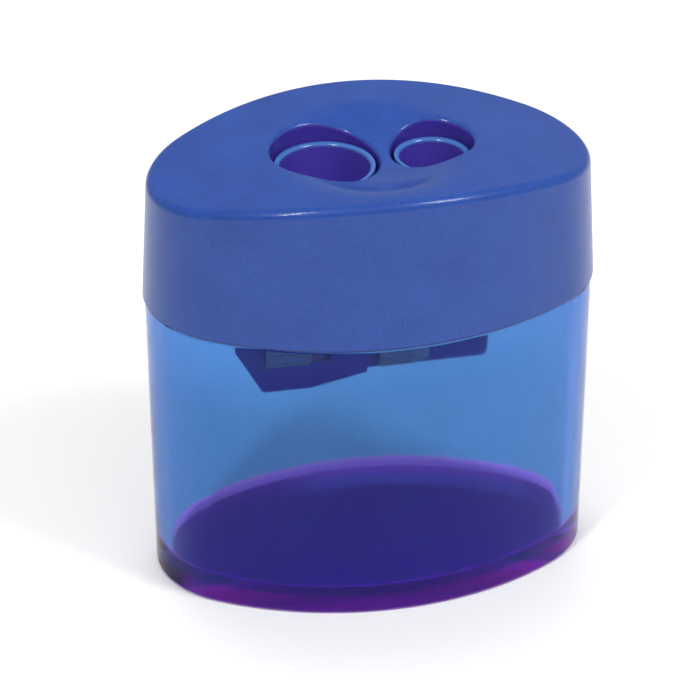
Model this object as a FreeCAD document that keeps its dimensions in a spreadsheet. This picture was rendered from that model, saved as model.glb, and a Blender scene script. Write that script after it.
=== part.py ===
import FreeCAD, Part
import math
import os
import Sketcher

# A hand-held pencil sharpener: an oval see-through cup, and a cap that carries a
# moulded insert with one jumbo and one standard pencil guide.
# Frame: +Z up, +X along the oval, the front (blade side) faces -Y, base on Z = 0.

# Driving sizes, in millimetres and degrees
SIZES = (
    ("lid_length", 56.0, "long way across the lid rim"),
    ("lid_width", 35.5, "short way across the lid rim"),
    ("end_radius", 13.2, "radius of the oval's ends at the lid rim"),
    ("seam_height", 37.7, "height of the shoulder that the lid rests on"),
    ("total_height", 57.0, "height of the lid's crown"),
    ("crown_radius", 109.5, "radius of the lid's arched top"),
    ("lid_draft", 2.6, "lean of the lid's sides, in degrees"),
    ("lid_edge", 1.2, "rounding of the lid's top edge"),
    ("seam_edge", 0.3, "rounding of both edges at the seam"),
    ("lid_skirt", 1.4, "lid wall round the neck"),
    ("lid_wall", 2.0, "lid wall above the neck, measured at the rim"),
    ("top_depth", 4.8, "distance from the lid's crown down to its flat ceiling"),
    ("dish_radius", 28.0, "radius of the shallow dish in the lid's top"),
    ("dish_depth", 2.4, "depth of the dish below the crown"),
    ("dish_offset", 0.1, "place of the dish along X"),
    ("dish_setback", 15.75, "distance of the dish's centre from the lid's front rim"),
    ("dish_blend", 10.0, "rounding where the dish meets the crown"),
    ("mouth_edge", 0.6, "rounding of the holes in the lid"),
    ("lid_overhang", 0.25, "how far the lid stands out over the cup"),
    ("cup_wall", 2.0, "wall of the cup"),
    ("cup_draft", 1.2, "lean of the cup's sides, in degrees"),
    ("cup_floor", 2.6, "floor of the cup"),
    ("floor_corner", 1.0, "rounding inside the cup at its floor"),
    ("base_edge", 0.6, "rounding of the cup's base"),
    ("neck_height", 4.5, "height of the neck above the shoulder"),
    ("neck_clearance", 0.12, "gap between the neck and the lid's skirt"),
    ("neck_headroom", 0.3, "gap above the neck"),
    ("large_x", -5.5, "place of the jumbo guide along X"),
    ("large_bore", 11.0, "diameter of the jumbo guide"),
    ("large_angle", 26.0, "full angle of the jumbo cone, in degrees"),
    ("small_x", 7.8, "place of the standard guide along X"),
    ("small_bore", 7.9, "diameter of the standard guide"),
    ("small_angle", 24.0, "full angle of the standard cone, in degrees"),
    ("collar_wall", 0.65, "wall of the collar round each guide's mouth"),
    ("collar_clearance", 0.45, "gap between a collar and its hole in the lid"),
    ("collar_height", 2.0, "rise of the collars above the lid's ceiling"),
    ("collar_edge", 0.4, "rounding of each guide's mouth"),
    ("guide_depth", 5.6, "straight part of each guide, from its mouth"),
    ("cone_tip", 1.2, "diameter of each cone at its tip"),
    ("insert_left", -16.8, "left end of the insert"),
    ("insert_right", 15.2, "right end of the insert"),
    ("insert_front", 7.0, "depth of the insert in front of the guides"),
    ("insert_back", 6.6, "depth of the insert behind the guides"),
    ("insert_drop", 29.2, "height of the insert on its jumbo side"),
    ("insert_step", 1.7, "how much shorter the standard side is"),
    ("corner_x", -13.1, "where the insert's slanted lower corner ends along X"),
    ("corner_rise", 7.0, "height of the insert's slanted lower corner"),
    ("step_start", -7.0, "where the slope between the two sides starts"),
    ("step_end", 0.0, "where the slope between the two sides ends"),
    ("insert_edge", 0.8, "rounding of the insert's lower corners"),
    ("flange_thickness", 2.4, "thickness of the insert's top flange"),
    ("flange_reach", 1.4, "how far the flange stands out at each end"),
    ("seat_split", -0.1, "where the two blade seats meet along X"),
    ("throat_depth", 0.4, "how far the blade seats cut into the cones"),
    ("clip_width", 7.0, "width of the lid's clips"),
    ("clip_thickness", 1.3, "thickness of the lid's clips"),
    ("clip_hook", 0.9, "how far the clips reach under the flange"),
    ("clip_hook_height", 1.2, "height of the clips' hooks"),
    ("clip_clearance", 0.1, "gap between a clip and the flange"),
    ("blade_thickness", 0.8, "thickness of the blades"),
    ("blade_bevel", 2.0, "width of the blades' ground bevel"),
    ("blade_rise", 2.0, "distance of a blade's top below the flange"),
    ("large_blade_width", 7.6, "width of the large blade"),
    ("large_blade_length", 20.7, "length of the large blade"),
    ("small_blade_width", 6.4, "width of the small blade"),
    ("small_blade_length", 23.0, "length of the small blade"),
    ("blade_hole", 2.3, "hole for the screw in each blade"),
    ("screw_inset", 3.2, "distance from a blade's back edge to its screw"),
    ("screw_shank", 2.0, "diameter of the screws' shank"),
    ("screw_length", 4.5, "length of the screws below the blade"),
    ("screw_grip", 0.02, "gap between a screw and its hole in the insert"),
    ("screw_head", 3.8, "diameter of the screws' head"),
    ("screw_head_height", 1.1, "height of the screws' head"),
    ("screw_head_edge", 0.35, "rounding of the screws' head"),
    ("slot_width", 0.6, "width of the slot in the screws' head"),
    ("slot_depth", 0.6, "depth of the slot in the screws' head"),
)

# How far a cutting shape runs past the solid that it cuts
SPARE = 2.0
TOLERANCE = 1e-4
X_AXIS = FreeCAD.Vector(1, 0, 0)
Z_AXIS = FreeCAD.Vector(0, 0, 1)

document = FreeCAD.newDocument("canister_sharpener")
sheet = document.addObject("Spreadsheet::Sheet", "sizes")
for row, (alias, size, meaning) in enumerate(SIZES, start=1):
    sheet.set(f"A{row}", meaning)
    sheet.set(f"B{row}", str(size))
    sheet.setAlias(f"B{row}", alias)
document.recompute()


def value(formula):
    """Work out a formula of the sheet's sizes."""
    result = sheet.evalExpression(formula)
    return float(getattr(result, "Value", result))


def bind(item, **formulas):
    """Tie an object's sizes to the sheet."""
    for name, formula in formulas.items():
        item.setExpression(name, formula)


def place(item, x="0", y="0", z="0", tilt=None):
    """Tie an object's place to the sheet, tilted about the X axis by an angle in degrees."""
    for axis, formula in zip("xyz", (x, y, z)):
        item.setExpression(f"Placement.Base.{axis}", formula)
    if tilt:
        item.Placement.Rotation = FreeCAD.Rotation(X_AXIS, value(tilt))
        item.setExpression("Placement.Rotation.Angle", f"({tilt}) * 1 deg")


def new_body(label):
    """Start one piece of the sharpener."""
    body = document.addObject("PartDesign::Body", label)
    body.Label = label
    return body


def new_sketch(body, name, role="XY_Plane", offset="0"):
    """Start a sketch on one of a body's own planes, moved along the plane's normal."""
    sketch = body.newObject("Sketcher::SketchObject", name)
    plane = next(item for item in body.Origin.OriginFeatures if item.Role == role)
    sketch.AttachmentSupport = [(plane, "")]
    sketch.MapMode = "FlatFace"
    sketch.setExpression("AttachmentOffset.Base.z", offset)
    return sketch


def measure(sketch, name, formula, kind, *ends):
    """Add a named dimension to a sketch and tie it to the sheet."""
    index = sketch.addConstraint(Sketcher.Constraint(kind, *ends, value(formula)))
    sketch.renameConstraint(index, name)
    sketch.setExpression(f"Constraints.{name}", formula)


# The oval: two end arcs and two side arcs, all tangent.
# Every oval here runs parallel to the lid rim, so all share the same centres.
END_CENTRE = "sizes.lid_length / 2 - sizes.end_radius"


def oval_radii(inset):
    """Give the end radius and the side radius of an oval, inset from the lid rim."""
    centre = value(END_CENTRE)
    end = value(f"sizes.end_radius - ({inset})")
    half_width = value(f"sizes.lid_width / 2 - ({inset})")
    side = (centre**2 + half_width**2 - end**2) / (2 * (half_width - end))
    return end, side


def draw_oval(sketch, inset):
    """Draw the four-arc oval that lies inside the lid rim by the inset."""
    centre = value(END_CENTRE)
    half_width = value(f"sizes.lid_width / 2 - ({inset})")
    end, side = oval_radii(inset)
    turn = math.atan2(side - half_width, centre)

    def arc(x, y, radius, first, last):
        circle = Part.Circle(FreeCAD.Vector(x, y, 0), Z_AXIS, radius)
        return sketch.addGeometry(Part.ArcOfCircle(circle, first, last), False)

    right = arc(centre, 0, end, -turn, turn)
    back = arc(0, half_width - side, side, turn, math.pi - turn)
    left = arc(-centre, 0, end, math.pi - turn, math.pi + turn)
    front = arc(0, side - half_width, side, math.pi + turn, 2 * math.pi - turn)
    middle = sketch.addGeometry(Part.Point(FreeCAD.Vector(0, half_width, 0)), True)
    sketch.addConstraint(
        [
            Sketcher.Constraint("Tangent", right, 2, back, 1),
            Sketcher.Constraint("Tangent", back, 2, left, 1),
            Sketcher.Constraint("Tangent", left, 2, front, 1),
            Sketcher.Constraint("Coincident", front, 2, right, 1),
            Sketcher.Constraint("PointOnObject", right, 3, -1),
            Sketcher.Constraint("Symmetric", right, 3, left, 3, -1, 1),
            Sketcher.Constraint("Symmetric", back, 3, front, 3, -1, 1),
            Sketcher.Constraint("PointOnObject", middle, 1, back),
            Sketcher.Constraint("PointOnObject", middle, 1, -2),
        ]
    )
    measure(sketch, "end_centre", END_CENTRE, "DistanceX", -1, 1, right, 3)
    measure(sketch, "end_radius", f"sizes.end_radius - ({inset})", "Radius", right)
    measure(sketch, "half_width", f"sizes.lid_width / 2 - ({inset})", "DistanceY", -1, 1, middle, 1)


def draw_polygon(sketch, corners):
    """Draw a closed outline through corners that are pairs of formulas."""
    points = [FreeCAD.Vector(value(x), value(y), 0) for x, y in corners]
    count = len(points)
    for index, start in enumerate(points):
        sketch.addGeometry(Part.LineSegment(start, points[(index + 1) % count]), False)
    for index, (x, y) in enumerate(corners):
        sketch.addConstraint(Sketcher.Constraint("Coincident", index, 2, (index + 1) % count, 1))
        measure(sketch, f"across_{index}", x, "DistanceX", -1, 1, index, 1)
        measure(sketch, f"up_{index}", y, "DistanceY", -1, 1, index, 1)


def draw_circle(sketch, x, y, radius):
    """Draw a circle whose centre and radius are formulas."""
    centre = FreeCAD.Vector(value(x), value(y), 0)
    index = sketch.addGeometry(Part.Circle(centre, Z_AXIS, value(radius)), False)
    measure(sketch, f"across_{index}", x, "DistanceX", -1, 1, index, 3)
    measure(sketch, f"up_{index}", y, "DistanceY", -1, 1, index, 3)
    measure(sketch, f"radius_{index}", radius, "Radius", index)


def extrude(body, kind, name, sketch, length, reverse=False, both_ways=False, taper=None):
    """Pad or pocket a sketch, and make sure that the solid grows or shrinks."""
    before = body.Tip.Shape.Volume if body.Tip else 0.0
    feature = body.newObject(f"PartDesign::{kind}", name)
    feature.Profile = sketch
    feature.setExpression("Length", length)
    feature.Reversed = reverse
    if both_ways:
        feature.SideType = "Symmetric"
    if taper:
        feature.setExpression("TaperAngle", f"({taper}) * 1 deg")
    document.recompute()
    check_growth(feature, before, kind == "Pad")


def add_primitive(body, kind, name, x="0", y="0", z="0", tilt=None, **formulas):
    """Add or cut away a box, cylinder, cone or sphere whose sizes are formulas."""
    before = body.Tip.Shape.Volume if body.Tip else 0.0
    feature = body.newObject(f"PartDesign::{kind}", name)
    bind(feature, **formulas)
    place(feature, x, y, z, tilt)
    document.recompute()
    check_growth(feature, before, kind.startswith("Additive"))


def check_growth(feature, before, grows):
    """Stop when a feature has added or removed nothing."""
    change = feature.Shape.Volume - before
    if (change > TOLERANCE) != grows or abs(change) <= TOLERANCE:
        raise RuntimeError(f"{feature.Label} changes the volume by {change:.4f}")


def round_edges(body, name, radius, edges):
    """Round edges of the body's last feature."""
    base = body.Tip
    numbers = [
        f"Edge{number}"
        for number, edge in enumerate(base.Shape.Edges, start=1)
        if any(edge.isSame(wanted) for wanted in edges)
    ]
    if not numbers:
        raise RuntimeError(f"{name} finds no edges")
    fillet = body.newObject("PartDesign::Fillet", name)
    fillet.Base = (base, numbers)
    fillet.setExpression("Radius", radius)
    document.recompute()


def oval_edges(body, inset, height):
    """Find the four arcs of an oval at a height."""
    radii = oval_radii(inset)
    level = value(height)
    return [
        edge
        for edge in body.Tip.Shape.Edges
        if isinstance(edge.Curve, Part.Circle)
        and abs(edge.BoundBox.ZMin - level) < TOLERANCE
        and abs(edge.BoundBox.ZMax - level) < TOLERANCE
        and any(abs(edge.Curve.Radius - radius) < TOLERANCE for radius in radii)
    ]


def circle_edges(body, radius, height):
    """Find the circles of a radius at a height."""
    return [
        edge
        for edge in body.Tip.Shape.Edges
        if isinstance(edge.Curve, Part.Circle)
        and abs(edge.Curve.Radius - value(radius)) < TOLERANCE
        and abs(edge.BoundBox.ZMin - value(height)) < TOLERANCE
        and abs(edge.BoundBox.ZMax - value(height)) < TOLERANCE
    ]


# Heights and insets that several pieces share
CEILING = "(sizes.total_height - sizes.top_depth)"
NECK_TOP = "sizes.seam_height + sizes.neck_height"
NECK_INSET = "sizes.lid_skirt + sizes.neck_clearance"
CUP_INSIDE = "sizes.lid_overhang + sizes.cup_wall"
MOUTH_HEIGHT = f"{CEILING} + sizes.collar_height"
GUIDE_BOTTOM = f"{MOUTH_HEIGHT} - sizes.guide_depth"
FLANGE_BOTTOM = f"{CEILING} - sizes.flange_thickness"
INSERT_BOTTOM = f"{CEILING} - sizes.insert_drop"
SIDES = ("large", "small")


def collar_radius(side):
    """Give the outside radius of a guide's collar."""
    return f"sizes.{side}_bore / 2 + sizes.collar_wall"


def hole_radius(side):
    """Give the radius of the hole in the lid that takes a collar."""
    return f"{collar_radius(side)} + sizes.collar_clearance"


def half_angle(side):
    """Give the lean of a cone's side, which is the lean of its blade."""
    return f"sizes.{side}_angle / 2"


def seat_point(side):
    """Give the Y and Z of a blade seat's plane, at the bottom of the straight guide."""
    lean = f"({half_angle(side)}) * 1 deg"
    y = f"sizes.throat_depth * cos({lean}) - sizes.{side}_bore / 2"
    z = f"{GUIDE_BOTTOM} + sizes.throat_depth * sin({lean})"
    return y, z


def screw_x(side):
    """Give the place of a blade's screw along X."""
    return f"sizes.{side}_x - sizes.{side}_blade_width + sizes.screw_inset"


def blade_top(side):
    """Give the distance from the seat point down the seat to the top of the blade."""
    drop = f"{seat_point(side)[1]} - ({FLANGE_BOTTOM}) + sizes.blade_rise"
    return f"({drop}) / cos(({half_angle(side)}) * 1 deg)"


def screw_down(side):
    """Give the distance from the seat point down the seat to the screw."""
    return f"{blade_top(side)} + sizes.{side}_blade_length / 2"


def along_seat(side, down, out="0"):
    """Give the Y and Z of a place that is some way down a blade seat and out from it."""
    y, z = seat_point(side)
    lean = f"({half_angle(side)}) * 1 deg"
    place_y = f"{y} + ({down}) * sin({lean}) - ({out}) * cos({lean})"
    place_z = f"{z} - ({down}) * cos({lean}) - ({out}) * sin({lean})"
    return place_y, place_z


def make_container():
    """Make the see-through cup: a thick floor, a shoulder for the lid and a neck inside it."""
    body = new_body("container")
    inward = "-sizes.cup_draft"
    outside = new_sketch(body, "cup_outside", offset="sizes.seam_height")
    draw_oval(outside, "sizes.lid_overhang")
    extrude(body, "Pad", "cup", outside, "sizes.seam_height", reverse=True, taper=inward)
    neck = new_sketch(body, "neck_outside", offset="sizes.seam_height")
    draw_oval(neck, NECK_INSET)
    extrude(body, "Pad", "neck", neck, "sizes.neck_height")
    mouth = new_sketch(body, "neck_inside", offset="sizes.seam_height")
    draw_oval(mouth, CUP_INSIDE)
    extrude(body, "Pocket", "neck_mouth", mouth, "sizes.neck_height", reverse=True)
    inside = new_sketch(body, "cup_inside", offset="sizes.seam_height")
    draw_oval(inside, CUP_INSIDE)
    depth = "sizes.seam_height - sizes.cup_floor"
    extrude(body, "Pocket", "cavity", inside, depth, taper=inward)
    base = oval_edges(body, leaning_inset("sizes.lid_overhang", "sizes.seam_height"), "0")
    round_edges(body, "base_rounding", "sizes.base_edge", base)
    floor = oval_edges(body, leaning_inset(CUP_INSIDE, depth), "sizes.cup_floor")
    round_edges(body, "floor_rounding", "sizes.floor_corner", floor)
    shoulder = oval_edges(body, "sizes.lid_overhang", "sizes.seam_height")
    round_edges(body, "shoulder_rounding", "sizes.seam_edge", shoulder)
    round_edges(body, "neck_rounding", "sizes.seam_edge", oval_edges(body, NECK_INSET, NECK_TOP))
    return body


def leaning_inset(inset, depth):
    """Give the inset of a leaning cup wall at a depth below the shoulder."""
    return f"{inset} + ({depth}) * tan(sizes.cup_draft * 1 deg)"


def crown_face(body):
    """Find the arched face on top of the lid."""
    radius = value("sizes.crown_radius")
    return next(
        face
        for face in body.Tip.Shape.Faces
        if isinstance(face.Surface, Part.Cylinder) and abs(face.Surface.Radius - radius) < TOLERANCE
    )


def mouth_edges(body):
    """Find the top edges of the two holes in the lid."""
    radii = [value(hole_radius(side)) for side in SIDES]
    found = []
    for face in body.Tip.Shape.Faces:
        wall = face.Surface
        if not isinstance(wall, Part.Cylinder) or abs(wall.Axis.z) < 0.5:
            continue
        if any(abs(wall.Radius - radius) < TOLERANCE for radius in radii):
            found += [edge for edge in face.Edges if is_mouth_edge(edge)]
    return found


def is_mouth_edge(edge):
    """Tell a hole's upper rim from its lower rim and from its seam."""
    above_ceiling = edge.BoundBox.ZMin > value(CEILING) + TOLERANCE
    return above_ceiling and not isinstance(edge.Curve, Part.Line)


def make_lid():
    """Make the cap: an arched top with a shallow dish and two holes, a skirt and two clips."""
    body = new_body("lid")
    inward = "-sizes.lid_draft"
    rim = new_sketch(body, "rim", offset="sizes.seam_height")
    draw_oval(rim, "0")
    blank_height = f"sizes.total_height - sizes.seam_height + {SPARE}"
    extrude(body, "Pad", "blank", rim, blank_height, taper=inward)
    crown = new_sketch(body, "crown_outline", role="XZ_Plane")
    centre = "sizes.total_height - sizes.crown_radius"
    draw_circle(crown, "0", centre, "sizes.crown_radius")
    draw_circle(crown, "0", centre, "sizes.crown_radius + sizes.lid_length")
    extrude(body, "Pocket", "crown", crown, f"sizes.lid_width + {SPARE}", both_ways=True)
    dish_centre = "sizes.total_height - sizes.dish_depth + sizes.dish_radius"
    dish_place = ("sizes.dish_offset", "sizes.dish_setback - sizes.lid_width / 2", dish_centre)
    add_primitive(body, "SubtractiveSphere", "dish", *dish_place, Radius="sizes.dish_radius")
    top = crown_face(body)
    dish_rim = [edge for wire in top.Wires if not wire.isSame(top.OuterWire) for edge in wire.Edges]
    round_edges(body, "dish_rounding", "sizes.dish_blend", dish_rim)
    round_edges(body, "top_rounding", "sizes.lid_edge", crown_face(body).OuterWire.Edges)
    inside = new_sketch(body, "inside", offset="sizes.seam_height")
    draw_oval(inside, "sizes.lid_wall")
    room = f"{CEILING} - sizes.seam_height"
    extrude(body, "Pocket", "cavity", inside, room, reverse=True, taper=inward)
    skirt = new_sketch(body, "skirt", offset="sizes.seam_height")
    draw_oval(skirt, "sizes.lid_skirt")
    skirt_room = "sizes.neck_height + sizes.neck_headroom"
    extrude(body, "Pocket", "skirt_room", skirt, skirt_room, reverse=True)
    holes = new_sketch(body, "holes", offset=CEILING)
    for side in SIDES:
        draw_circle(holes, f"sizes.{side}_x", "0", hole_radius(side))
    extrude(body, "Pocket", "pencil_holes", holes, "sizes.top_depth", reverse=True)
    round_edges(body, "mouth_rounding", "sizes.mouth_edge", mouth_edges(body))
    round_edges(body, "rim_rounding", "sizes.seam_edge", oval_edges(body, "0", "sizes.seam_height"))
    add_clips(body)
    return body


def add_clips(body):
    """Add the two clips that hang from the ceiling and reach under the insert's flange."""
    leg_height = "sizes.flange_thickness + sizes.clip_clearance + sizes.clip_hook_height"
    bottom = f"{CEILING} - ({leg_height})"
    left_face = "sizes.insert_left - sizes.flange_reach - sizes.clip_clearance"
    right_face = "sizes.insert_right + sizes.flange_reach + sizes.clip_clearance"
    legs = {
        "left": (f"{left_face} - sizes.clip_thickness", left_face),
        "right": (right_face, f"{right_face} - sizes.clip_hook"),
    }
    for side, (leg_x, hook_x) in legs.items():
        front = "-sizes.clip_width / 2"
        leg = {"Length": "sizes.clip_thickness", "Width": "sizes.clip_width", "Height": leg_height}
        add_primitive(body, "AdditiveBox", f"{side}_clip", leg_x, front, bottom, **leg)
        hook = {"Length": "sizes.clip_hook", "Width": "sizes.clip_width", "Height": "sizes.clip_hook_height"}
        add_primitive(body, "AdditiveBox", f"{side}_hook", hook_x, front, bottom, **hook)


def make_sharpener_body():
    """Make the moulded insert: a flanged block with two collars, cones and sloping blade seats."""
    body = new_body("sharpener_body")
    step_height = f"{INSERT_BOTTOM} + sizes.insert_step"
    front_view = new_sketch(body, "front_view", role="XZ_Plane", offset="sizes.insert_front")
    corners = (
        ("sizes.insert_left", CEILING),
        ("sizes.insert_left", f"{INSERT_BOTTOM} + sizes.corner_rise"),
        ("sizes.corner_x", INSERT_BOTTOM),
        ("sizes.step_start", INSERT_BOTTOM),
        ("sizes.step_end", step_height),
        ("sizes.insert_right", step_height),
        ("sizes.insert_right", CEILING),
    )
    draw_polygon(front_view, corners)
    depth = "sizes.insert_front + sizes.insert_back"
    extrude(body, "Pad", "block", front_view, depth, reverse=True)
    round_edges(body, "block_rounding", "sizes.insert_edge", corner_edges(body))
    for side in SIDES:
        cut_blade_seat(body, side)
    flange = {
        "Length": "sizes.insert_right - sizes.insert_left + 2 * sizes.flange_reach",
        "Width": depth,
        "Height": "sizes.flange_thickness",
    }
    flange_x = "sizes.insert_left - sizes.flange_reach"
    add_primitive(body, "AdditiveBox", "flange", flange_x, "-sizes.insert_front", FLANGE_BOTTOM, **flange)
    for side in SIDES:
        cut_guide(body, side)
        cut_screw_hole(body, side)
    return body


def corner_edges(body):
    """Find the edges that run from front to back along the lower corners of the insert's block."""
    depth = value("sizes.insert_front + sizes.insert_back")
    top = value(CEILING)
    return [
        edge
        for edge in body.Tip.Shape.Edges
        if abs(edge.BoundBox.YLength - depth) < TOLERANCE and edge.BoundBox.ZMin < top - TOLERANCE
    ]


def cut_blade_seat(body, side):
    """Cut the sloping face that a blade lies on, below the flange."""
    left = f"sizes.insert_left - {SPARE}" if side == "large" else "sizes.seat_split"
    right = "sizes.seat_split" if side == "large" else f"sizes.insert_right + {SPARE}"
    seat = {
        "Length": f"{right} - ({left})",
        "Width": "2 * sizes.insert_front",
        "Height": "2 * sizes.insert_drop",
    }
    down = f"2 * sizes.insert_drop - {SPARE} * sizes.insert_front"
    y, z = along_seat(side, down, "2 * sizes.insert_front")
    add_primitive(body, "SubtractiveBox", f"{side}_seat", left, y, z, half_angle(side), **seat)


def cut_guide(body, side):
    """Add a guide's collar and cut its straight mouth and its cone."""
    x = f"sizes.{side}_x"
    collar = {"Radius": collar_radius(side), "Height": "sizes.collar_height"}
    add_primitive(body, "AdditiveCylinder", f"{side}_collar", x, "0", CEILING, **collar)
    guide = {"Radius": f"sizes.{side}_bore / 2", "Height": "sizes.guide_depth"}
    add_primitive(body, "SubtractiveCylinder", f"{side}_guide", x, "0", GUIDE_BOTTOM, **guide)
    cone_height = f"(sizes.{side}_bore - sizes.cone_tip) / 2 / tan(({half_angle(side)}) * 1 deg)"
    cone = {"Radius1": "sizes.cone_tip / 2", "Radius2": f"sizes.{side}_bore / 2", "Height": cone_height}
    add_primitive(body, "SubtractiveCone", f"{side}_cone", x, "0", f"{GUIDE_BOTTOM} - {cone_height}", **cone)
    mouth = circle_edges(body, f"sizes.{side}_bore / 2", MOUTH_HEIGHT)
    round_edges(body, f"{side}_mouth", "sizes.collar_edge", mouth)


def cut_screw_hole(body, side):
    """Cut the hole for a blade's screw, square to the blade seat."""
    hole = {"Radius": "sizes.screw_shank / 2 + sizes.screw_grip", "Height": f"sizes.screw_length + {SPARE}"}
    y, z = along_seat(side, screw_down(side), "sizes.blade_thickness")
    tilt = f"{half_angle(side)} - 90"
    add_primitive(body, "SubtractiveCylinder", f"{side}_screw_hole", screw_x(side), y, z, tilt, **hole)


def make_blade(side):
    """Make a steel blade: flat under, ground to an edge along the guide's axis plane."""
    body = new_body(f"{side}_blade")
    section = new_sketch(body, "section")
    corners = (
        (f"-sizes.{side}_blade_width", "0"),
        ("0", "0"),
        ("-sizes.blade_bevel", "-sizes.blade_thickness"),
        (f"-sizes.{side}_blade_width", "-sizes.blade_thickness"),
    )
    draw_polygon(section, corners)
    extrude(body, "Pad", "blade", section, f"sizes.{side}_blade_length")
    hole_x = f"sizes.screw_inset - sizes.{side}_blade_width"
    hole = new_sketch(body, "hole_place", role="XZ_Plane")
    draw_circle(hole, hole_x, f"sizes.{side}_blade_length / 2", "sizes.blade_hole / 2")
    extrude(body, "Pocket", "hole", hole, "4 * sizes.blade_thickness", both_ways=True)
    y, z = along_seat(side, f"{blade_top(side)} + sizes.{side}_blade_length")
    place(body, f"sizes.{side}_x", y, z, half_angle(side))
    return body


def make_screw(side):
    """Make a slotted screw that clamps a blade to its seat."""
    body = new_body(f"{side}_blade_screw")
    reach = "sizes.screw_length + sizes.blade_thickness"
    shank = {"Radius": "sizes.screw_shank / 2", "Height": reach}
    add_primitive(body, "AdditiveCylinder", "shank", z=f"-({reach})", **shank)
    head = {"Radius": "sizes.screw_head / 2", "Height": "sizes.screw_head_height"}
    add_primitive(body, "AdditiveCylinder", "head", **head)
    rim = circle_edges(body, "sizes.screw_head / 2", "sizes.screw_head_height")
    round_edges(body, "head_rounding", "sizes.screw_head_edge", rim)
    slot = {"Length": "2 * sizes.screw_head", "Width": "sizes.slot_width", "Height": "2 * sizes.slot_depth"}
    slot_z = "sizes.screw_head_height - sizes.slot_depth"
    slot_y = "-sizes.slot_width / 2"
    add_primitive(body, "SubtractiveBox", "slot", "-sizes.screw_head", slot_y, slot_z, **slot)
    y, z = along_seat(side, screw_down(side), "sizes.blade_thickness")
    place(body, screw_x(side), y, z, f"{half_angle(side)} + 90")
    return body


def check_document():
    """Stop when any object of the document has failed."""
    failed = [item.Label for item in document.Objects if {"Invalid", "Error"} & set(item.State)]
    if failed:
        raise RuntimeError(f"failed objects: {failed}")


def write_parts(bodies):
    """Write each piece to a file that has its name."""
    os.makedirs("parts", exist_ok=True)
    for body in bodies:
        shape = body.Shape
        if shape.isNull() or not shape.isValid() or len(shape.Solids) != 1:
            raise RuntimeError(f"{body.Label} is not one sound solid")
        print(body.Label, round(shape.Volume, 2), shape.BoundBox)
    for body in bodies:
        body.Shape.exportStep(f"parts/{body.Label}.step")


bodies = [make_container(), make_lid(), make_sharpener_body()]
for side in SIDES:
    bodies += [make_blade(side), make_screw(side)]
document.recompute()
check_document()
write_parts(bodies)
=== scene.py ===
"""Looks of a two-hole canister pencil sharpener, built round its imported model."""

import logging
import math
from dataclasses import dataclass, field
from enum import Enum

import bmesh
import bpy
from mathutils import Euler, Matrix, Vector


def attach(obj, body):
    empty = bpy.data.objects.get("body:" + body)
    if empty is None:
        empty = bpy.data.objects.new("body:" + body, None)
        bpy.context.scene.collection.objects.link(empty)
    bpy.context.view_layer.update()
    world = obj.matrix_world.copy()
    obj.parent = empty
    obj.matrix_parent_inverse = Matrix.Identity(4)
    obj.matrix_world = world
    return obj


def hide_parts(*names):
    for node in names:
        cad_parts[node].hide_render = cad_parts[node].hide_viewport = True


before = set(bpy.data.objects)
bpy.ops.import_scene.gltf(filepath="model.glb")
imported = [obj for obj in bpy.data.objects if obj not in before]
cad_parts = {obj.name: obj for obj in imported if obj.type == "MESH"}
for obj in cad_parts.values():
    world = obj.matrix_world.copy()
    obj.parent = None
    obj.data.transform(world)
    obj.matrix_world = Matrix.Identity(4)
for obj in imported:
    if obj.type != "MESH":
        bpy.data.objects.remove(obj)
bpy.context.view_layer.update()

LOG = logging.getLogger("sharpener")
MM = 0.001
MERGE_DISTANCE = 0.001 * MM
INSIDE_MARK = "inside"
SEAT_LABELS = ("First", "Second")

# Space between neighbouring nodes in the editor
NODE_SPACING = 180
# Band of a pattern over which the colour runs from dark to light, and the roughness from low to high
COLOUR_BAND = (0.35, 0.65)
ROUGHNESS_BAND = (0.3, 0.7)
# Turns of the two sets of scratches in radians, and their lean as a share of the turn
SCRATCH_TURNS = (0.5, -0.9)
SCRATCH_LEAN = 0.6

Colour = tuple[float, float, float, float]


class Body(Enum):
    """The two rigid bodies of the sharpener."""

    CUP = "cup"
    CAP = "cap"


class Slot(Enum):
    """The material slots that the record names."""

    CUP = "tinted_cup_plastic"
    LID = "lid_plastic"
    INSERT = "insert_plastic"
    BLADE = "blade_steel"
    SCREW = "screw_steel"


class NodeTree:
    """A small helper that adds nodes to a tree and links them in reading order."""

    def __init__(self, tree: bpy.types.NodeTree) -> None:
        """Start with an empty tree.

        Args:
            tree: The node tree to fill.
        """
        self.tree = tree
        tree.nodes.clear()

    def add(self, kind: str, values: dict | None = None, **settings: object) -> bpy.types.Node:
        """Add a node.

        Args:
            kind: The node's type name.
            values: Input values by socket name.
            settings: Properties of the node.

        Returns:
            The new node.
        """
        node = self.tree.nodes.new(kind)
        node.location = (NODE_SPACING * len(self.tree.nodes), 0)
        for name, value in settings.items():
            setattr(node, name, value)
        for name, value in (values or {}).items():
            node.inputs[name].default_value = value
        return node

    def add_group(self, group: bpy.types.NodeTree, values: dict | None = None) -> bpy.types.Node:
        """Add a shader group.

        Args:
            group: The group's tree.
            values: Input values by socket name.

        Returns:
            The new node.
        """
        return self.add("ShaderNodeGroup", values, node_tree=group)

    def link(self, start: bpy.types.NodeSocket, end: bpy.types.NodeSocket) -> None:
        """Join an output to an input."""
        self.tree.links.new(start, end)

    def lay_over(
        self, under: bpy.types.NodeSocket, colour: Colour, mask: bpy.types.NodeSocket
    ) -> bpy.types.NodeSocket:
        """Lay a colour over another where a mask is full.

        Args:
            under: The colour that shows where the mask is empty.
            colour: The colour that shows where the mask is full.
            mask: The mask from 0 to 1.

        Returns:
            The mixed colour.
        """
        mix = self.add("ShaderNodeMix", data_type="RGBA")
        sockets = {socket.identifier: socket for socket in mix.inputs}
        sockets["B_Color"].default_value = colour
        self.link(mask, sockets["Factor_Float"])
        self.link(under, sockets["A_Color"])
        return next(socket for socket in mix.outputs if socket.identifier == "Result_Color")


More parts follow.
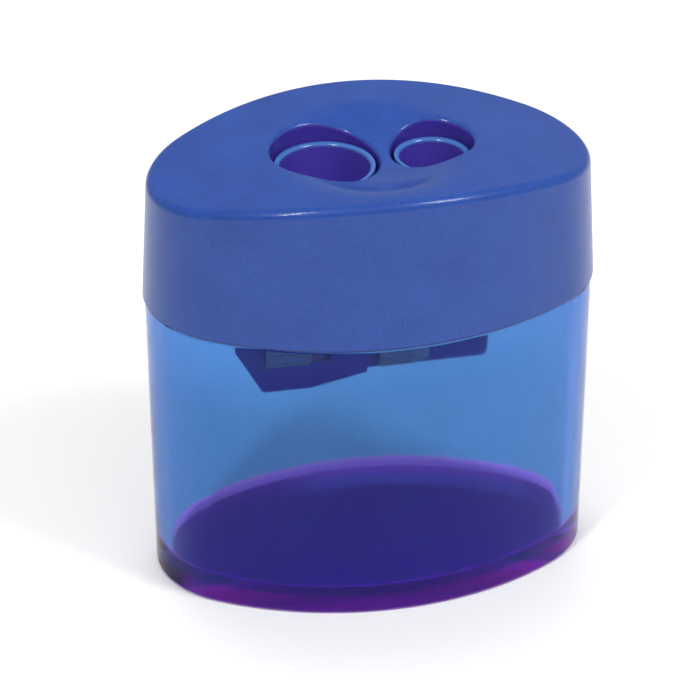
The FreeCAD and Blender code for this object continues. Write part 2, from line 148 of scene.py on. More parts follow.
def new_group(
    name: str, inputs: dict[str, float], outputs: tuple[str, ...]
) -> tuple[NodeTree, bpy.types.NodeOutputs, bpy.types.NodeInputs]:
    """Start a shader node group with float sockets.

    Args:
        name: The group's name.
        inputs: Input names with their defaults.
        outputs: Output names.

    Returns:
        The tree helper, and the sockets inside the group for what it is given and what it gives.
    """
    tree = bpy.data.node_groups.new(name, "ShaderNodeTree")
    for socket, default in inputs.items():
        item = tree.interface.new_socket(socket, in_out="INPUT", socket_type="NodeSocketFloat")
        item.default_value = default
    for socket in outputs:
        tree.interface.new_socket(socket, in_out="OUTPUT", socket_type="NodeSocketFloat")
    helper = NodeTree(tree)
    start = helper.add("NodeGroupInput")
    end = helper.add("NodeGroupOutput")
    return helper, start.outputs, end.inputs


def moulded_grain_group() -> bpy.types.NodeTree:
    """Build the fine mottle of moulded plastic, with soft clouds and small specks.

    Returns:
        A group that gives a pattern from 0 to 1.
    """
    sizes = {"Grain Scale": 2600.0, "Cloud Scale": 160.0, "Cloud Share": 0.4}
    helper, given, result = new_group("moulded_grain", sizes, ("Pattern",))
    place = helper.add("ShaderNodeTexCoord").outputs["Object"]
    grain = helper.add("ShaderNodeTexNoise", {"Detail": 3.0, "Roughness": 0.6})
    cloud = helper.add("ShaderNodeTexNoise", {"Detail": 2.0, "Roughness": 0.5})
    for noise, scale in ((grain, "Grain Scale"), (cloud, "Cloud Scale")):
        helper.link(place, noise.inputs["Vector"])
        helper.link(given[scale], noise.inputs["Scale"])
    mottle = helper.add("ShaderNodeMix", data_type="FLOAT")
    helper.link(given["Cloud Share"], mottle.inputs["Factor"])
    helper.link(grain.outputs["Fac"], mottle.inputs["A"])
    helper.link(cloud.outputs["Fac"], mottle.inputs["B"])
    helper.link(mottle.outputs["Result"], result["Pattern"])
    return helper.tree


def fine_scratches_group() -> bpy.types.NodeTree:
    """Build thin crossing scratches, as handling leaves on plastic and steel.

    Returns:
        A group that gives a scratch mask from 0 to 1.
    """
    sizes = {"Scale": 420.0, "Stretch": 0.06, "Threshold": 0.66}
    helper, given, result = new_group("fine_scratches", sizes, ("Scratches",))
    place = helper.add("ShaderNodeTexCoord").outputs["Object"]
    masks = []
    for turn in SCRATCH_TURNS:
        turned = helper.add("ShaderNodeVectorRotate", rotation_type="EULER_XYZ")
        turned.inputs["Rotation"].default_value = (turn, turn * SCRATCH_LEAN, turn)
        helper.link(place, turned.inputs["Vector"])
        squeeze = helper.add("ShaderNodeCombineXYZ", {"Y": 1.0, "Z": 1.0})
        helper.link(given["Stretch"], squeeze.inputs["X"])
        stretched = helper.add("ShaderNodeVectorMath", operation="MULTIPLY")
        helper.link(turned.outputs["Vector"], stretched.inputs[0])
        helper.link(squeeze.outputs["Vector"], stretched.inputs[1])
        noise = helper.add("ShaderNodeTexNoise", {"Detail": 2.0})
        helper.link(stretched.outputs["Vector"], noise.inputs["Vector"])
        helper.link(given["Scale"], noise.inputs["Scale"])
        mask = helper.add("ShaderNodeMath", operation="GREATER_THAN")
        helper.link(noise.outputs["Fac"], mask.inputs[0])
        helper.link(given["Threshold"], mask.inputs[1])
        masks.append(mask)
    both = helper.add("ShaderNodeMath", operation="MAXIMUM")
    helper.link(masks[0].outputs[0], both.inputs[0])
    helper.link(masks[1].outputs[0], both.inputs[1])
    helper.link(both.outputs[0], result["Scratches"])
    return helper.tree


def grinding_lines_group() -> bpy.types.NodeTree:
    """Build the parallel lines that grinding leaves across a blade.

    Returns:
        A group that gives a pattern from 0 to 1.
    """
    sizes = {"Scale": 900.0, "Length": 0.03}
    helper, given, result = new_group("grinding_lines", sizes, ("Pattern",))
    place = helper.add("ShaderNodeTexCoord").outputs["Object"]
    squeeze = helper.add("ShaderNodeCombineXYZ", {"Y": 1.0, "Z": 1.0})
    helper.link(given["Length"], squeeze.inputs["X"])
    stretched = helper.add("ShaderNodeVectorMath", operation="MULTIPLY")
    helper.link(place, stretched.inputs[0])
    helper.link(squeeze.outputs["Vector"], stretched.inputs[1])
    noise = helper.add("ShaderNodeTexNoise", {"Detail": 4.0, "Roughness": 0.7})
    helper.link(stretched.outputs["Vector"], noise.inputs["Vector"])
    helper.link(given["Scale"], noise.inputs["Scale"])
    helper.link(noise.outputs["Fac"], result["Pattern"])
    return helper.tree


def level_mask_group() -> bpy.types.NodeTree:
    """Build a mask that is full on one side of a height and fades out towards another.

    Returns:
        A group that gives the mask.
    """
    helper, given, result = new_group("level_mask", {"Full": 0.0, "Gone": 0.001}, ("Mask",))
    place = helper.add("ShaderNodeTexCoord").outputs["Object"]
    parts = helper.add("ShaderNodeSeparateXYZ")
    helper.link(place, parts.inputs["Vector"])
    fade = helper.add("ShaderNodeMapRange", {"To Min": 1.0, "To Max": 0.0}, interpolation_type="SMOOTHSTEP")
    helper.link(parts.outputs["Z"], fade.inputs["Value"])
    helper.link(given["Full"], fade.inputs["From Min"])
    helper.link(given["Gone"], fade.inputs["From Max"])
    helper.link(fade.outputs["Result"], result["Mask"])
    return helper.tree


def well_mask_group() -> bpy.types.NodeTree:
    """Build a mask that is full near an upright axis and fades out past a radius.

    Returns:
        A group that gives the mask.
    """
    sizes = {"Centre X": 0.0, "Radius": 0.001, "Fade": 0.0001}
    helper, given, result = new_group("well_mask", sizes, ("Mask",))
    place = helper.add("ShaderNodeTexCoord").outputs["Object"]
    axis = helper.add("ShaderNodeCombineXYZ")
    helper.link(given["Centre X"], axis.inputs["X"])
    # Leave the height out, so that the distance is measured from the axis
    flat = helper.add("ShaderNodeVectorMath", operation="MULTIPLY")
    flat.inputs[1].default_value = (1.0, 1.0, 0.0)
    helper.link(place, flat.inputs[0])
    away = helper.add("ShaderNodeVectorMath", operation="DISTANCE")
    helper.link(flat.outputs["Vector"], away.inputs[0])
    helper.link(axis.outputs["Vector"], away.inputs[1])
    end = helper.add("ShaderNodeMath", operation="ADD")
    helper.link(given["Radius"], end.inputs[0])
    helper.link(given["Fade"], end.inputs[1])
    fade = helper.add("ShaderNodeMapRange", {"To Min": 1.0, "To Max": 0.0}, interpolation_type="SMOOTHSTEP")
    helper.link(away.outputs["Value"], fade.inputs["Value"])
    helper.link(given["Radius"], fade.inputs["From Min"])
    helper.link(end.outputs[0], fade.inputs["From Max"])
    helper.link(fade.outputs["Result"], result["Mask"])
    return helper.tree


@dataclass(frozen=True)
class Effects:
    """The shader groups that the finishes share."""

    grain: bpy.types.NodeTree
    scratches: bpy.types.NodeTree
    grinding: bpy.types.NodeTree
    level: bpy.types.NodeTree
    well: bpy.types.NodeTree


@dataclass(frozen=True)
class Zone:
    """A colour that covers part of a piece's height: a tint, a painted shade or a painted highlight.

    It is whole up to the height `full` and has faded out at the height `gone`. Where `gone` is the
    lower of the two, the colour covers the upper part.
    """

    colour: Colour
    full: float
    gone: float


@dataclass(frozen=True)
class Well:
    """Painted shade on an upright hole's wall, standing in for the shadow inside the hole; it fades out
    just past a radius from the hole's axis.
    """

    centre_x: float
    radius: float
    colour: Colour
    fade: float = 0.12 * MM


@dataclass(frozen=True)
class Finish:
    """A surface finish: two close colours, a band of roughness and a fine relief.

    A zone, wells and an inside colour lie over the two colours, and a volume colour tints what is
    clear. A ground finish follows grinding lines, and any other a moulded grain.
    """

    name: str
    light: Colour
    dark: Colour
    smoothest: float
    roughest: float
    relief: float
    metallic: float = 0.0
    coat: float = 0.0
    coat_roughness: float = 0.1
    grain_scale: float = 2600.0
    cloud_scale: float = 160.0
    scratch_strength: float = 0.06
    transmission: float = 0.0
    index: float = 1.5
    volume_colour: Colour | None = None
    volume_density: float = 0.0
    ground: bool = False
    specular: float = 0.5
    zone: Zone | None = None
    wells: tuple[Well, ...] = ()
    inside: Colour | None = None

    def material(self, effects: Effects) -> bpy.types.Material:
        """Build the material.

        Args:
            effects: The shared shader groups.

        Returns:
            The finished material.
        """
        material = bpy.data.materials.new(self.name)
        material.use_nodes = True
        helper = NodeTree(material.node_tree)
        output = helper.add("ShaderNodeOutputMaterial")
        values = {
            "Metallic": self.metallic,
            "Coat Weight": self.coat,
            "Coat Roughness": self.coat_roughness,
            "Transmission Weight": self.transmission,
            "IOR": self.index,
            "Specular IOR Level": self.specular,
        }
        shader = helper.add("ShaderNodeBsdfPrincipled", values)
        helper.link(shader.outputs["BSDF"], output.inputs["Surface"])
        pattern = self.pattern(helper, effects)
        self.colour(helper, shader, pattern, effects)
        self.roughness(helper, shader, pattern, effects)
        bump = helper.add("ShaderNodeBump", {"Strength": 1.0, "Distance": self.relief})
        helper.link(pattern, bump.inputs["Height"])
        helper.link(bump.outputs["Normal"], shader.inputs["Normal"])
        if self.volume_colour:
            tint = {"Color": self.volume_colour, "Density": self.volume_density}
            volume = helper.add("ShaderNodeVolumeAbsorption", tint)
            helper.link(volume.outputs["Volume"], output.inputs["Volume"])
        return material

    def pattern(self, helper: NodeTree, effects: Effects) -> bpy.types.NodeSocket:
        """Place the pattern that the colour, the roughness and the relief follow.

        Args:
            helper: The material's tree.
            effects: The shared shader groups.

        Returns:
            The pattern from 0 to 1.
        """
        if self.ground:
            return helper.add_group(effects.grinding).outputs["Pattern"]
        scales = {"Grain Scale": self.grain_scale, "Cloud Scale": self.cloud_scale}
        return helper.add_group(effects.grain, scales).outputs["Pattern"]

    def colour(
        self, helper: NodeTree, shader: bpy.types.Node, pattern: bpy.types.NodeSocket, effects: Effects
    ) -> None:
        """Mix the two colours by the pattern, and lay the zone's, wells' and inside's colours over them.

        Args:
            helper: The material's tree.
            shader: The shader to feed.
            pattern: The finish's pattern.
            effects: The shared shader groups.
        """
        ramp = helper.add("ShaderNodeValToRGB")
        for stop, place, shade in zip(ramp.color_ramp.elements, COLOUR_BAND, (self.dark, self.light)):
            stop.position = place
            stop.color = shade
        helper.link(pattern, ramp.inputs["Fac"])
        colour = ramp.outputs["Color"]
        if self.zone:
            level = helper.add_group(effects.level, {"Full": self.zone.full, "Gone": self.zone.gone})
            colour = helper.lay_over(colour, self.zone.colour, level.outputs["Mask"])
        # Each well lays painted shade on the wall of a hole.
        for well in self.wells:
            sizes = {"Centre X": well.centre_x, "Radius": well.radius, "Fade": well.fade}
            disc = helper.add_group(effects.well, sizes)
            colour = helper.lay_over(colour, well.colour, disc.outputs["Mask"])
        if self.inside:
            marked = helper.add("ShaderNodeAttribute", attribute_name=INSIDE_MARK)
            colour = helper.lay_over(colour, self.inside, marked.outputs["Fac"])
        helper.link(colour, shader.inputs["Base Color"])

    def roughness(
        self, helper: NodeTree, shader: bpy.types.Node, pattern: bpy.types.NodeSocket, effects: Effects
    ) -> None:
        """Spread the roughness by the pattern and add the scratches.

        Args:
            helper: The material's tree.
            shader: The shader to feed.
            pattern: The finish's pattern.
            effects: The shared shader groups.
        """
        lowest, highest = ROUGHNESS_BAND
        band = {"From Min": lowest, "From Max": highest, "To Min": self.smoothest, "To Max": self.roughest}
        spread = helper.add("ShaderNodeMapRange", band)
        helper.link(pattern, spread.inputs["Value"])
        scratches = helper.add_group(effects.scratches)
        total = helper.add("ShaderNodeMath", operation="MULTIPLY_ADD")
        total.inputs[1].default_value = self.scratch_strength
        helper.link(scratches.outputs["Scratches"], total.inputs[0])
        helper.link(spread.outputs["Result"], total.inputs[2])
        helper.link(total.outputs[0], shader.inputs["Roughness"])


# Painted shade: this violet on the lid's hole walls stands in for the shadow inside the holes.
HOLE_PAINTED_SHADE: Colour = (0.052, 0.034, 0.32, 1.0)
LID_FINISH = Finish(
    name="satin_blue_lid",
    light=(0.018, 0.068, 0.322, 1.0),
    dark=(0.011, 0.048, 0.254, 1.0),
    smoothest=0.30,
    roughest=0.42,
    relief=0.01 * MM,
    specular=0.2,
    scratch_strength=0.03,
    coat=0.35,
    coat_roughness=0.12,
    # Painted shade: a near-black band on the lid's lowest edge stands in for the shadow in the seam over
    # the cup.
    zone=Zone(colour=(0.010, 0.005, 0.08, 1.0), full=37.8 * MM, gone=38.1 * MM),
    wells=(
        Well(centre_x=-5.5 * MM, radius=6.62 * MM, colour=HOLE_PAINTED_SHADE),
        Well(centre_x=7.8 * MM, radius=5.07 * MM, colour=HOLE_PAINTED_SHADE),
    ),
)
INSERT_FINISH = Finish(
    name="smooth_blue_insert",
    light=(0.085, 0.055, 0.44, 1.0),
    dark=(0.071, 0.045, 0.39, 1.0),
    smoothest=0.16,
    roughest=0.26,
    relief=0.002 * MM,
    coat=0.3,
    coat_roughness=0.06,
    # Painted light: the lighter blue band at the top stands in for the light that the collar rims catch,
    # against the darker violet below.
    zone=Zone(colour=(0.042, 0.135, 0.42, 1.0), full=54.05 * MM, gone=53.6 * MM),
)
CUP_FINISH = Finish(
    name="clear_tinted_cup",
    light=(0.094, 0.360, 0.690, 1.0),
    dark=(0.078, 0.310, 0.620, 1.0),
    inside=(0.97, 0.99, 1.0, 1.0),
    smoothest=0.04,
    roughest=0.12,
    relief=0.004 * MM,
    cloud_scale=120.0,
    grain_scale=1800.0,
    transmission=1.0,
    index=1.25,
    volume_colour=(0.46, 0.06, 0.74, 1.0),
    volume_density=88.0,
    zone=Zone(colour=(0.90, 0.115, 1.0, 1.0), full=2.2 * MM, gone=2.9 * MM),
)
BLADE_FINISH = Finish(
    name="ground_blade_steel",
    light=(0.37, 0.36, 0.43, 1.0),
    dark=(0.24, 0.23, 0.28, 1.0),
    smoothest=0.22,
    roughest=0.38,
    relief=0.008 * MM,
    metallic=1.0,
    ground=True,
)
SCREW_FINISH = Finish(
    name="plated_screw_steel",
    light=(0.60, 0.61, 0.63, 1.0),
    dark=(0.46, 0.47, 0.49, 1.0),
    smoothest=0.24,
    roughest=0.40,
    relief=0.004 * MM,
    metallic=1.0,
)


def smooth_copy(node: str, name: str, sharp: float) -> bpy.types.Object:
    """Copy a solid's mesh, join its loose triangles and shade its round faces smooth.

    Args:
        node: The CAD node to copy.
        name: The new piece's name.
        sharp: The angle in degrees above which an edge stays sharp.

    Returns:
        The new object, linked to the scene.
    """
    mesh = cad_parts[node].data.copy()
    mesh.name = name
    mesh.materials.clear()
    mesh.attributes.remove(mesh.attributes["custom_normal"])
    work = bmesh.new()
    work.from_mesh(mesh)
    bmesh.ops.remove_doubles(work, verts=work.verts, dist=MERGE_DISTANCE)
    work.to_mesh(mesh)
    work.free()
    mesh.shade_smooth()
    mesh.set_sharp_from_angle(angle=math.radians(sharp))
    piece = add_object(name, mesh)
    weighted = piece.modifiers.new("even_shading", "WEIGHTED_NORMAL")
    weighted.keep_sharp = True
    smooth = evaluated_mesh(piece)
    piece.modifiers.clear()
    piece.data = smooth
    return piece


def add_object(name: str, mesh: bpy.types.Mesh) -> bpy.types.Object:
    """Link a mesh to the scene as a new object.

    Args:
        name: The object's name.
        mesh: The mesh that it holds.

    Returns:
        The new object at the origin.
    """
    piece = bpy.data.objects.new(name, mesh)
    bpy.context.scene.collection.objects.link(piece)
    return piece


def evaluated_mesh(piece: bpy.types.Object) -> bpy.types.Mesh:
    """Give the plain mesh that an object's modifiers make.

    Args:
        piece: The object with live modifiers.

    Returns:
        A new mesh.
    """
    graph = bpy.context.evaluated_depsgraph_get()
    return bpy.data.meshes.new_from_object(piece.evaluated_get(graph))


def settle(piece: bpy.types.Object, body: Body, slot: Slot, *nodes: str) -> None:
    """Tie a finished piece to its body and hide the nodes that it stands for.

    Args:
        piece: The finished piece.
        body: The body that it moves with.
        slot: The record's material slot; not used.
        nodes: The CAD nodes that it replaces.
    """
    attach(piece, body.value)
    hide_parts(*nodes)
    LOG.info("%s: %d faces on %s", piece.name, len(piece.data.polygons), body.value)


@dataclass
class Cup:
    """The see-through cup, whose inner faces are clearer than its outer ones.

    A face belongs to the floor if it lies below `floor_limit` and its normal rises more than `level_face`.
    """

    sharp_angle: float = 28.0
    floor_limit: float = 8.0 * MM
    level_face: float = 0.5
    floor_clearness: float = 0.5
    finish: Finish = CUP_FINISH

    def build(self, effects: Effects) -> None:
        """Make the cup's mesh and dress it.

        Args:
            effects: The shared shader groups.
        """
        shell = smooth_copy("container", "shavings_cup", self.sharp_angle)
        self.mark_inside(shell.data)
        shell.data.materials.append(self.finish.material(effects))
        settle(shell, Body.CUP, Slot.CUP, "container")

    def mark_inside(self, mesh: bpy.types.Mesh) -> None:
        """Mark the faces that look into the hollow, so that they can be clearer than the outer ones.

        Args:
            mesh: The cup's mesh.
        """
        inside = mesh.attributes.new(INSIDE_MARK, "FLOAT", "FACE")
        for face in mesh.polygons:
            outward = face.normal.x * face.center.x + face.normal.y * face.center.y
            on_floor = face.normal.z > self.level_face and face.center.z < self.floor_limit
            if on_floor:
                inside.data[face.index].value = self.floor_clearness
            elif outward < 0:
                inside.data[face.index].value = 1.0


@dataclass
class Cap:
    """The lid with the insert that it holds."""

    sharp_angle: float = 28.0
    lid_finish: Finish = LID_FINISH
    insert_finish: Finish = INSERT_FINISH

    def build(self, effects: Effects) -> None:
        """Make the lid's and the insert's meshes and dress them.

        Args:
            effects: The shared shader groups.
        """
        lid = smooth_copy("lid", "lid_cap", self.sharp_angle)
        lid.data.materials.append(self.lid_finish.material(effects))
        settle(lid, Body.CAP, Slot.LID, "lid")
        insert = smooth_copy("sharpener_body", "guide_insert", self.sharp_angle)
        insert.data.materials.append(self.insert_finish.material(effects))
        settle(insert, Body.CAP, Slot.INSERT, "sharpener_body")


@dataclass
class Blades:
    """The two ground steel blades."""

    sharp_angle: float = 12.0
    finish: Finish = BLADE_FINISH
    nodes: tuple[str, ...] = ("large_blade", "small_blade")

    def build(self, effects: Effects) -> None:
        """Make both blades and dress them.

        Args:
            effects: The shared shader groups.
        """
        steel = self.finish.material(effects)
        for node in self.nodes:
            blade = smooth_copy(node, f"{node}_steel", self.sharp_angle)
            blade.data.materials.append(steel)
            settle(blade, Body.CAP, Slot.BLADE, node)


@dataclass(frozen=True)
class Seat:
    """The place of a screw: the point under its head, and the lean of its blade in degrees."""

    place: tuple[float, float, float]
    lean: float


@dataclass
class Screws:
    """The two slotted screws that clamp the blades."""

    head_radius: float = 1.9 * MM
    head_height: float = 1.1 * MM
    head_edge: float = 0.35 * MM
    head_dome: float = 0.12 * MM
    slot_width: float = 0.6 * MM
    slot_depth: float = 0.6 * MM
    shank_radius: float = 1.0 * MM
    shank_length: float = 5.3 * MM
    thread_depth: float = 0.16 * MM
    thread_pitch: float = 0.5 * MM
    thread_start: float = 0.8 * MM
    point_length: float = 0.6 * MM
    point_share: float = 0.6
    around: int = 48
    edge_steps: int = 6
    dome_steps: int = 5
    steps_per_turn: int = 8
    sharp_angle: float = 40.0
    large_seat: Seat = Seat((-9.9 * MM, -3.356 * MM, 37.535 * MM), 13.0)
    small_seat: Seat = Seat((4.6 * MM, -1.763 * MM, 36.385 * MM), 12.0)
    finish: Finish = SCREW_FINISH
    nodes: tuple[str, ...] = ("large_blade_screw", "small_blade_screw")

    def build(self, effects: Effects) -> None:
        """Make one screw, set it in both seats and dress the pair.

        Args:
            effects: The shared shader groups.
        """
        steel = self.finish.material(effects)
        pair = self.place_pair(self.one_screw(), steel)
        settle(pair, Body.CAP, Slot.SCREW, *self.nodes)

    def profile(self) -> list[tuple[float, float]]:
        """List the screw's outline from the top of the head down to the point.

        Returns:
            Radius and height pairs, with the height measured from under the head.
        """
        flat = self.head_radius - self.head_edge
        brow = self.head_height - self.head_dome
        points = []
        for step in range(1, self.dome_steps + 1):
            share = step / self.dome_steps
            points.append((flat * share, self.head_height - self.head_dome * share**2))
        for step in range(1, self.edge_steps + 1):
            turn = math.pi / 2 * step / self.edge_steps
            fall = self.head_edge * (1 - math.cos(turn))
            points.append((flat + self.head_edge * math.sin(turn), brow - fall))
        points.append((self.head_radius, 0.0))
        points.append((self.shank_radius, 0.0))
        step_height = self.thread_pitch / self.steps_per_turn
        count = round((self.shank_length - self.point_length) / step_height)
        for step in range(1, count + 1):
            points.append((self.shank_radius, -step * step_height))
        core = self.shank_radius - self.thread_depth
        points.append((core * self.point_share, -self.shank_length))
        return points

    def thread(self, height: float, turn: float) -> float:
        """Give how deep the thread's groove is at a height and an angle.

        Args:
            height: Height below the head, as a negative length.
            turn: Angle round the shank, as a share of a full turn.

        Returns:
            The groove's depth in metres.
        """
        below = -height - self.thread_start
        threaded = self.shank_length - self.point_length
        if below <= 0 or -height > threaded:
            return 0.0
        phase = (below / self.thread_pitch - turn) % 1.0
        return self.thread_depth * abs(2 * phase - 1) * min(1.0, below / self.thread_pitch)

    def one_screw(self) -> bpy.types.Mesh:
        """Turn the outline into a closed screw and cut its slot.

        Returns:
            The finished mesh, with its axis along Z.
        """
        work = bmesh.new()
        top = work.verts.new((0.0, 0.0, self.head_height))
        rows = []
        for radius, height in self.profile():
            row = []
            for step in range(self.around):
                share = step / self.around
                reach = radius - self.thread(height, share)
                turn = 2 * math.pi * share
                row.append(work.verts.new((reach * math.cos(turn), reach * math.sin(turn), height)))
            rows.append(row)
        for step in range(self.around):
            after = (step + 1) % self.around
            work.faces.new((top, rows[0][step], rows[0][after]))
            for upper, lower in zip(rows, rows[1:]):
                work.faces.new((upper[step], lower[step], lower[after], upper[after]))
        work.faces.new(list(reversed(rows[-1])))
        bmesh.ops.recalc_face_normals(work, faces=work.faces)
        mesh = bpy.data.meshes.new("screw_blank")
        work.to_mesh(mesh)
        work.free()
        return self.cut_slot(mesh)

    def cut_slot(self, blank: bpy.types.Mesh) -> bpy.types.Mesh:
        """Cut the driver's slot across the head.

        Args:
            blank: The screw without its slot.

        Returns:
            The slotted mesh.
        """
        work = bmesh.new()
        bmesh.ops.create_cube(work, size=1.0)
        cutter_height = 2 * self.slot_depth
        head_width = 2 * self.head_radius
        sizes = Vector((2 * head_width, self.slot_width, cutter_height))
        bmesh.ops.scale(work, vec=sizes, verts=work.verts)
        middle = self.head_height - self.slot_depth + cutter_height / 2
        bmesh.ops.translate(work, vec=(0.0, 0.0, middle), verts=work.verts)
        cutter_mesh = bpy.data.meshes.new("slot_cutter")
        work.to_mesh(cutter_mesh)
        work.free()
        cutter = add_object("slot_cutter", cutter_mesh)
        screw = add_object("screw_blank", blank)
        cut = screw.modifiers.new("slot", "BOOLEAN")
        cut.operation = "DIFFERENCE"
        cut.solver = "EXACT"
        cut.object = cutter
        slotted = evaluated_mesh(screw)
        bpy.data.objects.remove(screw)
        bpy.data.objects.remove(cutter)
        return slotted

    def place_pair(self, screw: bpy.types.Mesh, steel: bpy.types.Material) -> bpy.types.Object:
        """Set a copy of the screw in each seat with a node tree, and keep the result as one mesh.

        Args:
            screw: One screw, with its axis along Z.
            steel: The screws' material.

        Returns:
            The object that holds both screws.
        """
        tree = screw_pair_tree()
        holder = add_object("screw_pair_source", screw)
        modifier = holder.modifiers.new("screw_pair", "NODES")
        modifier.node_group = tree
        values = {"Steel": steel}
        for label, seat in zip(SEAT_LABELS, (self.large_seat, self.small_seat)):
            # A screw stands square to its blade
            square = math.radians(seat.lean + 90)
            values[f"{label} Place"] = seat.place
            values[f"{label} Turn"] = (square, 0.0, 0.0)
        for item in tree.interface.items_tree:
            if item.name in values:
                modifier[item.identifier] = values[item.name]
        mesh = evaluated_mesh(holder)
        bpy.data.objects.remove(holder)
        mesh.shade_smooth()
        mesh.set_sharp_from_angle(angle=math.radians(self.sharp_angle))
        return add_object("blade_screws", mesh)


def screw_pair_tree() -> bpy.types.NodeTree:
    """Build the node tree that stands one screw in two seats.

    Returns:
        The tree, with a place and a turn for each seat and the steel as inputs.
    """
    tree = bpy.data.node_groups.new("screw_pair", "GeometryNodeTree")
    tree.interface.new_socket("Screw", in_out="INPUT", socket_type="NodeSocketGeometry")
    for label in SEAT_LABELS:
        tree.interface.new_socket(f"{label} Place", in_out="INPUT", socket_type="NodeSocketVector")
        tree.interface.new_socket(f"{label} Turn", in_out="INPUT", socket_type="NodeSocketVector")
    tree.interface.new_socket("Steel", in_out="INPUT", socket_type="NodeSocketMaterial")
    tree.interface.new_socket("Screws", in_out="OUTPUT", socket_type="NodeSocketGeometry")
    helper = NodeTree(tree)
    given = helper.add("NodeGroupInput").outputs
    result = helper.add("NodeGroupOutput").inputs
    index = helper.add("GeometryNodeInputIndex")
    chosen = {}
    for kind in ("Place", "Turn"):
        switch = helper.add("GeometryNodeIndexSwitch", data_type="VECTOR")
        helper.link(index.outputs["Index"], switch.inputs["Index"])
        for number, label in enumerate(SEAT_LABELS, start=1):
            helper.link(given[f"{label} {kind}"], switch.inputs[number])
        chosen[kind] = switch.outputs[0]
    points = helper.add("GeometryNodePoints", {"Count": len(SEAT_LABELS)})
    helper.link(chosen["Place"], points.inputs["Position"])
    copies = helper.add("GeometryNodeInstanceOnPoints")
    turn = helper.add("FunctionNodeEulerToRotation")
    helper.link(chosen["Turn"], turn.inputs[0])
    helper.link(points.outputs[0], copies.inputs["Points"])
    helper.link(given["Screw"], copies.inputs["Instance"])
    helper.link(turn.outputs[0], copies.inputs["Rotation"])
    real = helper.add("GeometryNodeRealizeInstances")
    helper.link(copies.outputs["Instances"], real.inputs["Geometry"])
    dressed = helper.add("GeometryNodeSetMaterial")
    helper.link(real.outputs["Geometry"], dressed.inputs["Geometry"])
    helper.link(given["Steel"], dressed.inputs["Material"])
    helper.link(dressed.outputs["Geometry"], result["Screws"])
    return tree


@dataclass(frozen=True)
class Lamp:
    """A flat soft light, with its place and sides in metres and its power in watts.

    A light that isn't mirrored lights the object but doesn't show in its shiny faces.
    """

    name: str
    place: tuple[float, float, float]
    width: float
    height: float
    power: float
    mirrored: bool = True


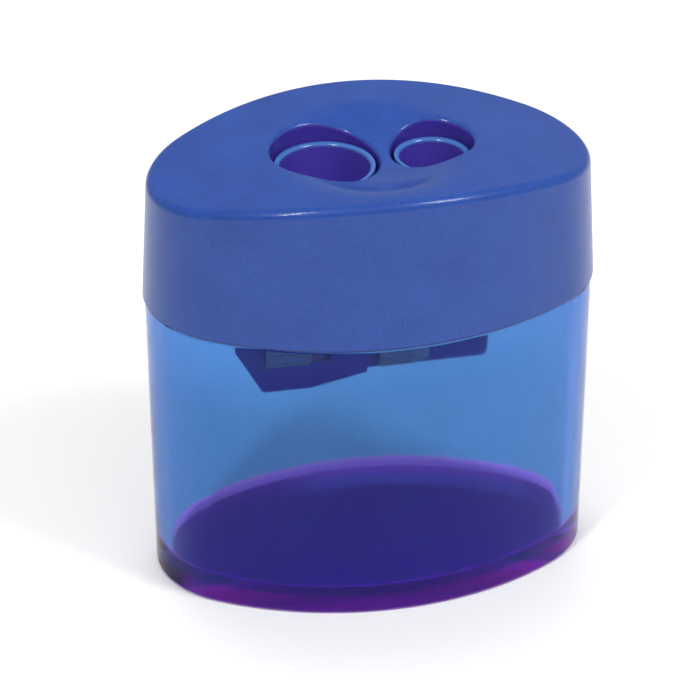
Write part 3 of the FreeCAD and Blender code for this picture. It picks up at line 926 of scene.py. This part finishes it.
@dataclass
class Studio:
    """A pale floor, soft light and a camera at the photograph's angle, in metres and degrees."""

    azimuth: float = -12.13
    elevation: float = 29.98
    distance: float = 0.6013
    focal_pixels: float = 4857.0
    image_pixels: float = 700.0
    sensor: float = 36.0
    clip_start: float = 0.01
    target: Vector = field(default_factory=lambda: Vector((0.0, 0.0, 0.027)))
    pan_right: float = -0.00231
    pan_up: float = 0.00062
    floor_size: float = 6.0
    floor_level: float = -0.00005
    floor_colour: Colour = (0.95, 0.95, 0.95, 1.0)
    floor_roughness: float = 0.8
    world_colour: Colour = (1.0, 1.0, 1.0, 1.0)
    world_strength: float = 0.42
    clear_bounces: int = 24
    shine_bounces: int = 16
    lamps: tuple[Lamp, ...] = (
        Lamp("front_box", (0.0, -0.55, 0.85), 0.70, 0.60, 1.4, mirrored=False),
        Lamp("back_box", (0.0, 0.35, 0.95), 0.50, 0.50, 3.5, mirrored=False),
        Lamp("left_strip", (-0.36, -0.41, 0.75), 0.08, 0.32, 2.5),
        Lamp("right_box", (0.40, -0.39, 0.72), 0.20, 0.24, 3.1),
    )

    def build(self) -> None:
        """Make the floor, the surroundings, the lights and the camera."""
        self.floor()
        self.world()
        for lamp in self.lamps:
            self.hang(lamp)
        self.camera()
        self.light_paths()
        bpy.context.scene.view_settings.view_transform = "Standard"

    def light_paths(self) -> None:
        """Let light run on inside the clear cup, whose floor guides it from side to side."""
        paths = bpy.context.scene.cycles
        paths.max_bounces = self.clear_bounces
        paths.glossy_bounces = self.shine_bounces
        paths.transmission_bounces = self.clear_bounces

    def floor(self) -> None:
        """Lay the pale floor."""
        half = self.floor_size / 2
        mesh = bpy.data.meshes.new("studio_floor")
        level = self.floor_level
        corners = [(-half, -half, level), (half, -half, level), (half, half, level), (-half, half, level)]
        mesh.from_pydata(corners, [], [(0, 1, 2, 3)])
        plane = add_object("studio_floor", mesh)
        material = bpy.data.materials.new("pale_floor")
        material.use_nodes = True
        shader = material.node_tree.nodes["Principled BSDF"]
        shader.inputs["Base Color"].default_value = self.floor_colour
        shader.inputs["Roughness"].default_value = self.floor_roughness
        mesh.materials.append(material)

    def world(self) -> None:
        """Set the plain white surroundings."""
        world = bpy.data.worlds.new("white_room")
        world.use_nodes = True
        background = world.node_tree.nodes["Background"]
        background.inputs["Color"].default_value = self.world_colour
        background.inputs["Strength"].default_value = self.world_strength
        bpy.context.scene.world = world

    def hang(self, lamp: Lamp) -> None:
        """Hang a soft light that faces the object.

        Args:
            lamp: The light's place, sides and power.
        """
        data = bpy.data.lights.new(lamp.name, "AREA")
        data.shape = "RECTANGLE"
        data.size = lamp.width
        data.size_y = lamp.height
        data.energy = lamp.power
        light = bpy.data.objects.new(lamp.name, data)
        light.location = lamp.place
        light.visible_glossy = lamp.mirrored
        light.rotation_euler = (self.target - Vector(lamp.place)).to_track_quat("-Z", "Y").to_euler()
        bpy.context.scene.collection.objects.link(light)

    def camera(self) -> None:
        """Place the camera where the photograph was taken."""
        turn = math.radians(self.azimuth)
        rise = math.radians(self.elevation)
        back = Vector((math.sin(turn) * math.cos(rise), -math.cos(turn) * math.cos(rise), math.sin(rise)))
        right = Vector((math.cos(turn), math.sin(turn), 0.0))
        up = back.cross(right)
        data = bpy.data.cameras.new("photo_camera")
        data.sensor_width = self.sensor
        data.lens = self.focal_pixels * self.sensor / self.image_pixels
        data.clip_start = self.clip_start
        camera = bpy.data.objects.new("photo_camera", data)
        camera.location = self.target + back * self.distance + right * self.pan_right + up * self.pan_up
        camera.rotation_euler = Euler((math.pi / 2 - rise, 0.0, turn))
        bpy.context.scene.collection.objects.link(camera)
        bpy.context.scene.camera = camera


def main() -> None:
    """Build every piece in order, then the studio."""
    logging.basicConfig(level=logging.INFO)
    effects = Effects(
        grain=moulded_grain_group(),
        scratches=fine_scratches_group(),
        grinding=grinding_lines_group(),
        level=level_mask_group(),
        well=well_mask_group(),
    )
    for assembly in (Cup(), Cap(), Blades(), Screws()):
        assembly.build(effects)
    Studio().build()


if __name__ == "__main__":
    main()
